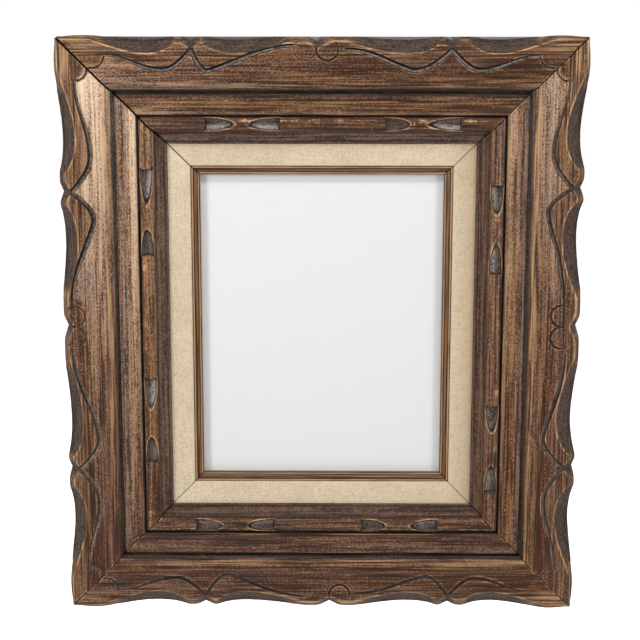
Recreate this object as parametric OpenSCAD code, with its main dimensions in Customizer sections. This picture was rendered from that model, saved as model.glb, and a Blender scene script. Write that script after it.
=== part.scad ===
// Carved wooden picture frame with a linen liner, hung from two strap hangers.
// X runs across the frame, Z up and -Y towards the viewer.
// The origin is the middle of the opening, on the plane of the rails' backs.
// Each stick is drawn lying along X: y = 0 is its outer edge, y falls inwards and z rises from the back.

/* [Opening] */
// Width of the opening that shows the picture
sight_w = 190.5; // [120:0.5:400]
// Height of the opening that shows the picture
sight_h = 241.3; // [120:0.5:500]
// How far the picture is covered on each side
picture_lap = 6.35; // [5:0.05:8]
// Room left round the picture in its pocket
picture_room = 3.1; // [2:0.1:4]

/* [Carved rail] */
// Width of a rail from its outer edge to the tip of its lip
rail_w = 81.5; // [76:0.5:100]
// Depth of a rail from its back to its front
rail_d = 35; // [33:0.5:42]
// How far the lip covers the liner
lip_cover = 6; // [4:0.5:8]
// Thickness of the lip
lip_t = 2.2; // [1.8:0.1:3]
// Height of the lip's front above the back
lip_front = 18.5; // [17.5:0.5:20]
// Gap left in each mitre joint
mitre_gap = 0.2; // [0.1:0.05:0.6]

/* [Panel, quirks, cove and bead] */
// Width of the flat carved panel with its rounded nosing
panel_w = 40.4; // [38:0.2:44]
// How far the panel's crown falls away at the outer edge
panel_fall = 1; // [0.4:0.1:1.6]
// Width of the sunk line beside the panel
quirk_w = 2.6; // [1.6:0.1:3.4]
// How deep that line lies below the front
quirk_sink = 9.3; // [7:0.1:11]
// Width of the cove
cove_w = 15.6; // [13:0.2:18]
// Hollow of the cove below its own edges
cove_hollow = 2.2; // [1:0.1:3]
// Width of the sunk line beside the bead
small_quirk_w = 1.5; // [1:0.1:2]
// Width of the bead
bead_w = 11.6; // [9:0.2:13]
// How far the bead's crown lies below the front
bead_sink = 6.2; // [5:0.1:8]

/* [Carving] */
// Depth of the scoops in from the edge, on the front face
scoop_in = 13.2; // [8:0.2:15]
// Slope of the scoops' floor, from the front face
scoop_slope = 41; // [34:1:50]
// Slope of the side below the scoops, from the front face
side_slope = 85; // [82:0.5:88]
// How closely the side follows the carved edge, as a share
side_share = 0.44; // [0.1:0.02:0.6]
// How far the notches reach in, on the front face
notch_in = 9.4; // [6:0.2:11]
// Width of the cut scroll line where it is widest
line_w = 3.8; // [2:0.1:5]
// Depth of the cut scroll line
line_deep = 1.9; // [0.8:0.1:2.5]
// Width of the curls' cut line
curl_w = 1.6; // [1:0.1:2.4]
// How far the outline bulges near each corner
bulge = 1; // [0:0.1:2]
// Radius of the gouge that cut the bead
gouge_r = 7; // [5:0.1:8]
// Depth of a gouge cut at its blunt end
gouge_deep = 4.6; // [2:0.1:5]

/* [Liner, linen and fillet] */
// Width of linen that shows
linen_show = 17.25; // [12:0.25:25]
// Thickness of the linen with its glue
linen_t = 0.5; // [0.3:0.1:0.8]
// How far the linen's face drops towards the opening
linen_drop = 1.7; // [0.5:0.1:3]
// Gap between the liner and the rails' rebate
liner_gap = 0.5; // [0.3:0.1:1.5]
// Height of the liner's back above the rails' back
liner_back = 2; // [1.5:0.1:3]
// Width of fillet that shows
fillet_show = 7; // [5:0.25:10]
// Thickness of the fillet at the opening
fillet_edge = 3; // [2:0.1:4]
// Height of the fillet's face at the opening, above the rails' back
fillet_face = 10.3; // [9.5:0.1:11.5]
// How far the fillet's outer edge stands above its face at the opening
fillet_rise = 3.2; // [2:0.1:4]
// Thickness of the fillet's tongue behind the liner
tongue_t = 2.2; // [1.5:0.1:3]

/* [Fasteners] */
// Thickness of a V-nail's steel
vnail_t = 0.6; // [0.4:0.1:0.8]
// Length of each wing of a rail's V-nail
vnail_wing = 9; // [6:0.5:11]
// Depth of a rail's V-nail
vnail_deep = 12; // [8:0.5:14]
// Thickness of a glazier's point
point_t = 0.5; // [0.3:0.1:0.8]
// Length of a glazier's point
point_l = 16; // [12:0.5:20]
// Width of a glazier's point
point_w = 9; // [6:0.5:12]

/* [Hangers] */
// Height of the hanger's eyes above the middle, as a share of the frame's height
hanger_high = 0.18; // [0.05:0.01:0.3]
// Distance of the hangers from the frame's outer edges
hanger_in = 38; // [28:1:50]
// Width of the strap
strap_w = 9.5; // [8:0.5:12]
// Length of the strap from its eye to its end
strap_l = 30; // [26:0.5:36]
// Thickness of the strap's steel, which lies double
strap_t = 0.9; // [0.7:0.1:1.2]
// Radius of the ring's wire
wire_r = 1; // [0.8:0.1:1.4]
// Inside width of the D-ring
ring_w = 14; // [13:0.5:18]
// Length of the D-ring's straight legs
ring_leg = 3.5; // [2:0.5:5]
// Gap between the ring's bar and the eye round it
eye_gap = 0.2; // [0.1:0.05:0.4]
// Radius of the hanger screw's shank
screw_r = 1.6; // [1.2:0.1:2]
// Length of the hanger screw's shank
screw_l = 16; // [10:0.5:20]
// Radius of the hanger screw's head
screw_head_r = 3.6; // [3:0.1:4.2]
// Height of the hanger screw's head
screw_head_h = 2.2; // [1.6:0.1:2.6]

/* [Hidden] */
$fn = 48;
eps = 0.02;
cut = 60;                       // length of a cutter that runs right through

// Widths counted in from the frame's outer edge
liner_out = rail_w - lip_cover + liner_gap;
linen_in = rail_w + linen_show;
sight_in = linen_in + fillet_show;
pocket_in = sight_in - picture_lap - picture_room;
frame_w = sight_w + 2 * sight_in;
frame_h = sight_h + 2 * sight_in;

// Heights above the rails' back
lip_back = lip_front - lip_t;
linen_low = lip_back - linen_drop;
fillet_back = fillet_face - fillet_edge;
fillet_high = fillet_face + fillet_rise;

// Carving shares are counted from a rail's end, 0, to its middle, 1
// From, to, how far the deepest place lies to one side, and how full the curve is
scoop_1 = [0.09, 0.452, 1.5, 0.8];
scoop_2 = [0.56, 0.9, 0.68, 1.05];
notch_at = 0.515;
notch_half = 0.042;
lobe_in = 4.3;                  // distance of the lobes' edge from the outline
lobe_thin = 0.4;                // share by which that is less beside the middle
side_fall = 0.6;                // how far the side leans in at the back
carve_steps = 54;

// The bulge's middle and half length along the rail, from the corner
bulge_at = 21;
bulge_long = 15;

// Arc round each corner lobe, as along, in, radius, from and to, on level and on upright rails
corner_arcs = [[27.5, 14, 9.3, 258, 366], [24.5, 15.5, 8.2, 256, 386]];

// The two curls in the middle: off the middle, in, radius, from and to
curl = [8.8, 10.8, 8.2, 160, 400];

// Distance in from the outer edge of each mitre's two V-nails, and the liner's from its own edge
rail_nails_in = [24, 58];
liner_nail_in = 6;
nail_cover = 0.3;               // wood left behind a V-nail
gouge_stop = 14;                // radius of the arc at a gouge cut's blunt end
root_half = 0.7071;

// Shares of the half length at which each rail's bead is gouged: blunt end, then tip
gouges_top = [[-0.44, -0.33], [-0.16, -0.29], [0.24, 0.34], [0.53, 0.4]];
gouges_bottom = [[-0.46, -0.35], [-0.16, -0.26], [0.19, 0.3], [0.5, 0.39]];
gouges_left = [[-0.475, -0.378], [-0.175, -0.285], [0.262, 0.355], [0.555, 0.43]];
gouges_right = [[-0.5, -0.4], [-0.2, -0.31], [0.27, 0.37], [0.58, 0.48]];

function arc(x, y, rx, ry, from, to, n) =
    [for (i = [0:n]) let (a = from + (to - from) * i / n) [x + rx * cos(a), y + ry * sin(a)]];

function flip(points) = [for (p = points) [-p[0], p[1]]];

// Lays a stick drawn along X on its side of the frame: 0 top, 1 right, 2 bottom, 3 left
module on_side(side) {
    rotate([0, 90 * side, 0])
        translate([0, 0, (side % 2 == 0 ? frame_h : frame_w) / 2])
            rotate([90, 0, 0])
                children();
}

// A stick of the given section, mitred at both ends, between two distances from the outer edge
module mitred(side, section, from, to) {
    length = side % 2 == 0 ? frame_w : frame_h;
    half = length / 2 - mitre_gap * root_half;
    intersection() {
        rotate([90, 0, 90])
            linear_extrude(height = length, center = true)
                polygon(flip(section));
        translate([0, 0, -cut / 2])
            linear_extrude(height = 2 * cut)
                polygon([[from - half, -from], [half - from, -from], [half - to, -to], [to - half, -to]]);
    }
}

// Section of the carved rail, from its back round the outer edge to the lip
quirk_in = panel_w + quirk_w;
cove_in = quirk_in + cove_w;
bead_out = cove_in + small_quirk_w;
bead_in = bead_out + bead_w;
hollow_in = rail_w - 2.5;
quirk_z = rail_d - quirk_sink;
cove_z = quirk_z + cove_hollow;
bead_z = rail_d - bead_sink;
nose_r = 5.2;
hollow_z = lip_back + 1.6;

rail_section = concat(
    [[side_fall, 0], [-bulge, rail_d * 0.6], [-bulge, rail_d - panel_fall - 0.8],
     [0.8, rail_d - panel_fall]],
    [for (i = [1:6]) let (u = 0.8 + i * (panel_w - nose_r - 1.6) / 6)
        [u, rail_d - panel_fall * pow(1 - u / (panel_w / 2), 2)]],
    arc(panel_w - nose_r - 0.3, rail_d - panel_fall - nose_r, nose_r, nose_r, 84, 6, 7),
    [[panel_w, quirk_z], [quirk_in - 0.3, quirk_z], [quirk_in, cove_z]],
    arc((quirk_in + cove_in) / 2, cove_z, cove_w / 2 - 0.3, cove_hollow, 180, 360, 10),
    [[cove_in, cove_z - 0.3], [cove_in + 0.3, cove_z - 3.6], [bead_out, cove_z - 3.6]],
    arc(bead_out + bead_w / 2, bead_z - bead_w * 0.45, bead_w / 2, bead_w * 0.45, 180, 0, 12),
    arc(hollow_in, bead_z - bead_w * 0.45, hollow_in - bead_in - 0.2, bead_z - bead_w * 0.45 - hollow_z,
        190, 262, 6),
    arc(rail_w - 1.3, lip_front - 1.1, 1.3, 1.1, 160, -40, 6),
    [[rail_w - 0.4, lip_back], [rail_w - lip_cover, lip_back], [rail_w - lip_cover, 0]]
);

// How far in the edge of the front face lies at a share of the half length
function scoop(t, span, deep) = t <= span[0] || t >= span[1] ? 0
    : deep * pow(sin(180 * pow((t - span[0]) / (span[1] - span[0]), span[2])), span[3]);
function notch(t, at) = notch_in * pow(max(0, 1 - abs(t - at) / notch_half), 1.2);
function lobe(t) = lobe_in * min(1, max(0, (t - 0.1) / 0.3))
    * (1 - lobe_thin * min(1, max(0, (t - 0.82) / 0.1)));
function edge_in(t) = lobe(t) + max(
    scoop(t, scoop_1, scoop_in - lobe_in * 0.75), scoop(t, scoop_2, scoop_in - lobe_in),
    notch(t, notch_at) * (1 - lobe_in / notch_in), notch(t, 1) * (1 - lobe_in / notch_in));

// The bulge near a corner, as places along the rail from its corner and out from its edge
bulge_steps = 10;
bulge_line = [for (i = [0:bulge_steps]) let (k = 2 * i / bulge_steps - 1)
    [bulge_at + k * bulge_long, bulge * (1 - k * k)]];

// How far in the cut scroll line runs: two leaf-shaped stretches that meet in the notch
line_first = 13.8;              // where it starts
line_peak = 24.5;               // the innermost place of its first stretch
line_last = 9;                  // where it ends
line_from = 0.18;
line_to = 0.915;
first_turn = 0.67;              // share of a stretch at which it turns to the notch, or comes from it
second_turn = 0.24;
function first_leaf(p) = p < first_turn
    ? line_first + (line_peak - line_first) * pow(sin(90 * p / first_turn), 2)
    : line_peak - (line_peak - notch_in) * (1 - cos(90 * (p - first_turn) / (1 - first_turn)));
function second_leaf(q) = q < second_turn
    ? notch_in + (line_peak + 1.3 - notch_in) * sin(90 * q / second_turn)
    : line_peak + 1.3 - (line_peak + 1.3 - line_last)
        * pow(sin(90 * (q - second_turn) / (1 - second_turn)), 1.2);
function line_in(t) = t < notch_at ? first_leaf((t - line_from) / (notch_at - line_from))
    : second_leaf((t - notch_at) / (line_to - notch_at));

// The line swells in the middle of each stretch and is thin at its ends
function swell(t) = t < notch_at ? 0.4 + 0.6 * min(1, (t - line_from) / 0.2)
    : 1 - 0.45 * max(0, (t - 0.7) / (line_to - 0.7));

// How far in the rail's side lies, measured at the front: it follows the carved edge at a distance
function side_in(t) = side_share * max(0, edge_in(t) - lobe_in);

// Everything outside an edge curve, as a prism whose walls lean outwards by the given slope
module edge_cut(half, reach, slope) {
    share = [for (i = [0:carve_steps]) i / carve_steps];
    run = concat([for (t = share) [(t - 1) * half, t]],
        [for (i = [1:carve_steps]) let (t = share[carve_steps - i]) [(1 - t) * half, t]]);
    lean = sin(slope);
    translate([0, 0, rail_d])
        rotate([90 - slope, 0, 0])
            linear_extrude(height = 3 * cut, center = true)
                polygon(concat([[-half, cut]], [for (r = run) [r[0], -reach(r[1]) * lean]], [[half, cut]]));
}

// Everything outside the rail's outline, which is straight but for the bulges near its corners
module outline_cut(half) {
    translate([0, 0, -cut / 2])
        linear_extrude(height = 2 * cut)
            polygon(concat([[-half - cut, 0]],
                [for (p = bulge_line) [p[0] - half, p[1]]],
                [for (i = [0:bulge_steps]) let (p = bulge_line[bulge_steps - i]) [half - p[0], p[1]]],
                [[half + cut, 0], [half + cut, cut], [-half - cut, cut]]));
}

// The cut scroll line on half a rail, drawn from the end to the middle, deeper along its own middle
module scroll_line(half, corner) {
    n = 32;
    at = [for (i = [0:n]) line_from + (line_to - line_from) * i / n];
    for (cut_step = [[1, 0.5], [0.6, 1]]) {
        wide = line_w / 2 * cut_step[0];
        translate([-half, 0, rail_d - panel_fall * 0.1 - line_deep * cut_step[1]])
            linear_extrude(height = cut)
                polygon(concat([for (t = at) [t * half, wide * swell(t) - line_in(t)]],
                    [for (i = [0:n]) let (t = at[n - i]) [t * half, -wide * swell(t) - line_in(t)]]));
    }
    ring_line(corner[0] - half, corner[1], corner[2], corner[3], corner[4]);
    ring_line(-curl[0], curl[1], curl[2], 180 - curl[4], 180 - curl[3]);
}

module ring_line(x, in, r, from, to) {
    translate([x, -in, rail_d - panel_fall * 0.3 - line_deep * 0.6])
        rotate([0, 0, from])
            rotate_extrude(angle = to - from)
                translate([r - curl_w / 2, 0])
                    square([curl_w, cut]);
}

// One gouge cut: a round tool that rises from its blunt end and runs out at its tip
module gouge(blunt, tip) {
    way = tip > blunt ? 1 : -1;
    length = abs(tip - blunt);
    intersection() {
        translate([blunt, -(bead_out + bead_in) / 2, bead_z - gouge_deep + gouge_r])
            rotate([0, way * (90 - atan(gouge_deep / length)), 0])
                translate([0, 0, -length])
                    cylinder(r = gouge_r, h = 3 * length);
        translate([blunt + way * gouge_stop, -(bead_out + bead_in) / 2, 0])
            cylinder(r = gouge_stop, h = cut);
        translate([blunt - (way > 0 ? 0 : length + 2), -bead_in, 0])
            cube([length + 2, bead_w, cut]);
    }
}

module rail(side, gouges) {
    half = (side % 2 == 0 ? frame_w : frame_h) / 2;
    color([0.42, 0.3, 0.21])
        on_side(side)
            difference() {
                mitred(side, rail_section, -bulge, rail_w);
                outline_cut(half);
                edge_cut(half, function (t) edge_in(t), scoop_slope);
                edge_cut(half, function (t) side_in(t), side_slope);
                for (turn = [0, 1])
                    mirror([turn, 0, 0])
                        scroll_line(half, corner_arcs[side % 2]);
                for (g = gouges)
                    gouge(g[0] * half, g[1] * half);
                rail_nail_pair(side, 0.05);
                point_pair(side, 0.05);
                if (side % 2 == 1)
                    hanger_hole(side);
            }
}

// Core of the liner: a stick with a rebate behind the linen's edge for the fillet and the picture
liner_section = [[liner_out, liner_back], [liner_out, lip_back - linen_t],
    [rail_w, lip_back - linen_t], [linen_in - linen_t - 1, linen_low - linen_t + 0.1],
    [linen_in - linen_t, linen_low - linen_t - 0.9], [linen_in - linen_t, fillet_back + tongue_t],
    [pocket_in, fillet_back + tongue_t], [pocket_in, liner_back]];

module liner(side) {
    color([0.72, 0.6, 0.42])
        on_side(side)
            difference() {
                mitred(side, liner_section, liner_out, sight_in);
                liner_nail(side, 0.05);
            }
}

// Linen glued over the liner's face and down its inner edge
linen_section = [[liner_out, lip_back - linen_t], [liner_out, lip_back], [rail_w, lip_back],
    [linen_in - 1, linen_low], [linen_in - 0.3, linen_low - 0.3], [linen_in, linen_low - 1],
    [linen_in, fillet_back + tongue_t], [linen_in - linen_t, fillet_back + tongue_t],
    [linen_in - linen_t, linen_low - linen_t - 0.9], [linen_in - linen_t - 1, linen_low - linen_t + 0.1],
    [rail_w, lip_back - linen_t]];

module linen(side) {
    color([0.87, 0.8, 0.67])
        on_side(side)
            mitred(side, linen_section, liner_out, sight_in);
}

// Fillet: a bead at the opening, a hollow, a raised outer edge and a tongue behind the liner
fillet_out = linen_in + 0.1;
bead_edge = sight_in - 2.2;
fillet_section = concat(
    [[pocket_in + 0.1, fillet_back], [pocket_in + 0.1, fillet_back + tongue_t - eps],
        [fillet_out, fillet_back + tongue_t - eps], [fillet_out, fillet_high - 0.4]],
    arc(fillet_out + 0.9, fillet_high - 0.6, 0.9, 0.6, 160, 20, 4),
    arc(bead_edge, fillet_high - 0.6, bead_edge - fillet_out - 2, fillet_rise - 0.4, 185, 265, 6),
    arc(sight_in - 1.1, fillet_face, 1.1, 1.1, 170, 0, 6),
    [[sight_in, fillet_back]]
);

module fillet(side) {
    color([0.4, 0.28, 0.19])
        on_side(side)
            mitred(side, fillet_section, pocket_in, sight_in);
}

// A V of two wings that meet on a mitre, its point towards the frame's outer corner
module v_nail(wing, thick, deep, grow) {
    long = wing + thick + 2 * grow;
    wide = thick + 2 * grow;
    translate([-thick - grow, -grow, -grow])
        cube([long, wide, deep + 2 * grow]);
    translate([-thick - grow, -wing - grow, -grow])
        cube([wide, long, deep + 2 * grow]);
}

// V-nails stand on the mitre, so each rail end gets the slots of both
module rail_nail_pair(side, grow) {
    half = (side % 2 == 0 ? frame_w : frame_h) / 2;
    for (turn = [0, 1])
        mirror([turn, 0, 0])
            for (in = rail_nails_in)
                translate([in - half, -in, nail_cover])
                    v_nail(vnail_wing, vnail_t, vnail_deep, grow);
}

module liner_nail(side, grow) {
    half = (side % 2 == 0 ? frame_w : frame_h) / 2;
    in = liner_out + liner_nail_in;
    for (turn = [0, 1])
        mirror([turn, 0, 0])
            translate([in - half, -in, liner_back + nail_cover])
                v_nail(vnail_wing * 0.6, vnail_t, vnail_deep / 2, grow);
}

module rail_v_nails() {
    color([0.6, 0.6, 0.62])
        for (side = [0, 2])
            on_side(side)
                rail_nail_pair(side, 0);
}

module liner_v_nails() {
    color([0.6, 0.6, 0.62])
        for (side = [0, 2])
            on_side(side)
                liner_nail(side, 0);
}

// Glazier's points lie flat on the liner's back, half in the rebate's wall
module point_pair(side, grow) {
    length = side % 2 == 0 ? sight_w : sight_h;
    bite = point_l * 0.45;
    for (turn = [-1, 1])
        translate([turn * length * 0.3, -(rail_w - lip_cover) + bite + grow,
                   liner_back - point_t - 0.03 - grow])
            linear_extrude(height = point_t + 2 * grow)
                polygon([[0, 0], [point_w / 2 + grow, -bite], [point_w / 2 + grow, -point_l - 2 * grow],
                    [-point_w / 2 - grow, -point_l - 2 * grow], [-point_w / 2 - grow, -bite]]);
}

module glazier_points() {
    color([0.66, 0.66, 0.68])
        for (side = [0:3])
            on_side(side)
                point_pair(side, 0);
}

// Strap hangers stand upright on the backs of the side rails, eye up
eye_r = wire_r + eye_gap;
eye_out = eye_r + strap_t;
eye_y = eye_out;
eye_z = hanger_high * frame_h;
screw_down = strap_l - strap_w / 2 - 1;
ring_mid_r = ring_w / 2 + wire_r;
ring_reach = ring_leg + ring_mid_r;
ring_tilt = asin((2 * strap_t + wire_r + 0.3 - eye_y) / ring_reach) + 2;

module at_hanger(way) {
    translate([way * (frame_w / 2 - hanger_in), 0, eye_z])
        children();
}

module hanger_strap(way) {
    color([0.75, 0.74, 0.7])
        at_hanger(way)
            difference() {
                union() {
                    translate([-strap_w / 2, eye_y, 0])
                        rotate([0, 90, 0])
                            cylinder(r = eye_out, h = strap_w);
                    rotate([-90, 0, 0])
                        linear_extrude(height = 2 * strap_t)
                            union() {
                                translate([-strap_w / 2, 0])
                                    square([strap_w, strap_l - strap_w / 2]);
                                translate([0, strap_l - strap_w / 2])
                                    circle(d = strap_w);
                            }
                }
                translate([-strap_w, eye_y, 0])
                    rotate([0, 90, 0])
                        cylinder(r = eye_r, h = 2 * strap_w);
                translate([0, -1, -screw_down])
                    rotate([-90, 0, 0])
                        cylinder(r = screw_r + 0.3, h = cut);
            }
}

module d_ring(way) {
    color([0.75, 0.74, 0.7])
        at_hanger(way)
            translate([0, eye_y, 0])
                rotate([ring_tilt, 0, 0]) {
                    translate([-ring_mid_r, 0, 0])
                        rotate([0, 90, 0])
                            cylinder(r = wire_r, h = 2 * ring_mid_r);
                    for (end = [-1, 1])
                        translate([end * ring_mid_r, 0, 0]) {
                            sphere(r = wire_r);
                            translate([0, 0, -ring_leg])
                                cylinder(r = wire_r, h = ring_leg);
                        }
                    translate([0, 0, -ring_leg])
                        rotate([90, 180, 0])
                            rotate_extrude(angle = 180)
                                translate([ring_mid_r, 0])
                                    circle(r = wire_r);
                }
}

// Hole in the rail for a hanger's screw, in the rail's own lying position
module hanger_hole(side) {
    along = (side == 1 ? -1 : 1) * (eye_z - screw_down);
    translate([along, -hanger_in, -eps])
        cylinder(r = screw_r + 0.05, h = screw_l + 0.5);
}

module hanger_screws() {
    color([0.78, 0.72, 0.5])
        for (way = [-1, 1])
            at_hanger(way)
                translate([0, 2 * strap_t, -screw_down])
                    rotate([90, 0, 0]) {
                        translate([0, 0, -eps])
                            cylinder(r = screw_r, h = screw_l - screw_r);
                        translate([0, 0, screw_l - screw_r - eps])
                            cylinder(r1 = screw_r, r2 = 0.2, h = 2 * screw_r);
                        rotate([180, 0, 0])
                            cylinder(r1 = screw_head_r, r2 = screw_head_r * 0.7, h = screw_head_h);
                    }
}

rail(0, gouges_top);  // rail_top
rail(1, gouges_right);  // rail_right
rail(2, gouges_bottom);  // rail_bottom
rail(3, gouges_left);  // rail_left
liner(0);  // liner_top
liner(1);  // liner_right
liner(2);  // liner_bottom
liner(3);  // liner_left
linen(0);  // linen_top
linen(1);  // linen_right
linen(2);  // linen_bottom
linen(3);  // linen_left
fillet(0);  // fillet_top
fillet(1);  // fillet_right
fillet(2);  // fillet_bottom
fillet(3);  // fillet_left
rail_v_nails();
liner_v_nails();
glazier_points();
hanger_strap(-1);  // hanger_strap_left
hanger_strap(1);  // hanger_strap_right
d_ring(-1);  // d_ring_left
d_ring(1);  // d_ring_right
hanger_screws();
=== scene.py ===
import bpy
import bmesh
import math
from mathutils import Matrix, Vector, noise


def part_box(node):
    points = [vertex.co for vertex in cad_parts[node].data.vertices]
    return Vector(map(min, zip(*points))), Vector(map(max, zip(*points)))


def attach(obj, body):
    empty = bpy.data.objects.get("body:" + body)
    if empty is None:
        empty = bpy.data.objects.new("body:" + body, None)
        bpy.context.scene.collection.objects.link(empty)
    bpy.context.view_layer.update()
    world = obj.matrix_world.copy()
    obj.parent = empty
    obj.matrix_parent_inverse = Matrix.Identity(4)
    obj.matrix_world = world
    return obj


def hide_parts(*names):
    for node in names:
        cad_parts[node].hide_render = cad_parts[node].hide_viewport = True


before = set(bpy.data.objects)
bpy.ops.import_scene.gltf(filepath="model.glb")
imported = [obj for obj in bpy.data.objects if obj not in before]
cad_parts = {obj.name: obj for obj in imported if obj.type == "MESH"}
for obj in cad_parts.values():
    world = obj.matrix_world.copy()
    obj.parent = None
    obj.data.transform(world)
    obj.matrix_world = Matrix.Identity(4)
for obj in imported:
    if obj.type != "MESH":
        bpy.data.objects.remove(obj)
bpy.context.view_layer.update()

mm = 0.001
print("frame loaded")


# The whole frame's size comes from the CAD nodes' boxes
topLow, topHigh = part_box("rail_top")
leftLow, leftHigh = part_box("rail_left")
frameWide = (topHigh[0] - topLow[0]) / mm
frameHigh = (leftHigh[2] - leftLow[2]) / mm
frameDeep = (topHigh[1] - topLow[1]) / mm

# Section of the rails in mm, in from the outer edge and up from the back
rail = dict(width=81.5, lipCover=6.0, lipThick=2.2, lipFront=18.5, mitreGap=0.2,
            panel=40.4, fall=1.0, quirk=2.6, quirkSink=9.3, cove=15.6, coveHollow=2.2,
            smallQuirk=1.5, bead=11.6, beadSink=6.2, nose=5.2, sideFall=0.6)
quirkIn = rail["panel"] + rail["quirk"]
coveIn = quirkIn + rail["cove"]
beadOut = coveIn + rail["smallQuirk"]
beadIn = beadOut + rail["bead"]
beadMid = (beadOut + beadIn) / 2
beadTop = frameDeep - rail["beadSink"]
quirkZ = frameDeep - rail["quirkSink"]
lipBack = rail["lipFront"] - rail["lipThick"]
rebateIn = rail["width"] - rail["lipCover"]
joinIn = 30.0            # where the carved panel meets the plain rest of the section

# The carving: slopes and turns in degrees, places across in mm, places along as shares of half a rail. The
# scoops are (from, to, lean, fullness), the curls' depth is a least one and what their cut adds to it, and
# the line rises and falls as parts of sine and cosine waves. The waves are the hand's small unevenness.
carving = dict(
    slope=41.0, sideSlope=81.0, sideShare=0.45, sideHollow=0.35, firstScoop=(0.09, 0.452, 1.5, 0.8),
    secondScoop=(0.56, 0.9, 0.68, 1.05), lobeIn=4.3, lobeFrom=0.1, lobeOver=0.3, lobeThin=0.4,
    lobeFade=(0.82, 0.92), notchIn=9.4, notchAt=0.515, notchHalf=0.042, notchPoint=1.2, centreWide=1.3,
    lineTo=0.915, lineIn=13.8, lineRise=10.7, riseTurn=134.3, lineTop=24.5, lineFall=15.2, fallTurn=272.7,
    fallFrom=0.67, lineHalf=2.1, lineDeep=1.9, cutRound=2.4, arcHalf=0.8, arcDeep=0.95, curlGap=0.3,
    curlSpan=(165, 400), curlDeep=(0.3, 0.65), bulge=1.0, bulgeAt=20.0, bulgeLong=15.0, gougeR=7.0,
    gougeDeep=5.1, gougeBow=28, mitreChip=0.35, edgeWave=0.6, edgeTremble=0.25, lineWave=0.5,
    faceWave=0.1, faceTremble=0.05, faceShift=0.08)

# How many rows a rail's section gets on its side, on the scoop's floor, before, on and behind the cut line,
# and from there to the plain part; how far the dense ones spread from the line, and between which places
# they lie at the rail's end and at the curls; and how far apart the stations are
meshing = dict(sideRows=8, floorRows=12, lineRows=(8, 20, 10), joinRows=10, spread=5, endRows=(9, 25.5),
               curlRows=(2.6, 9.4), near=0.42, farther=0.5)

# Each side's own carving and wear, with its painted light, in mm or as shares. A pair gives its first end and
# its second, a triple the middle too. Of the carving, index counts quarter turns, centre is the motif's
# centre off the middle, mitres the gaps left there, scoops their depths, lineFrom where the line starts and
# thin its width, arc the corner arc as (along, in, radius, from, to) and arcCut its depth, leaves each half's
# second leaf as (turn, innermost place, last place, bend), curls their (shift, in, radius), curlCut how wide
# each is cut and gouges their blunt ends and tips. Of the wear and painted light, bleachAndSheen is how far
# the stain has gone pale together with a painted sheen, strongest at the uprights' upper ends, shifted by
# cove, bead and hollow, rub how gold the edges are, with coveRub, corner, leaf and flakes, ink how dark the
# cut lines are, from glaze and painted shade, quirk and shade the glaze and painted shade in the quirk and on
# the slopes beside it, litGrey the painted light on the line's inner flank, red and streak how red and how
# striped the grain is, and stains sooty patches as (along, in, half length, half width).
levelSide = dict(lineFrom=0.185, arc=(27.5, 14.0, 9.3, 258, 366))
uprightSide = dict(lineFrom=0.145, arc=(24.5, 15.5, 8.2, 256, 386))
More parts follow.
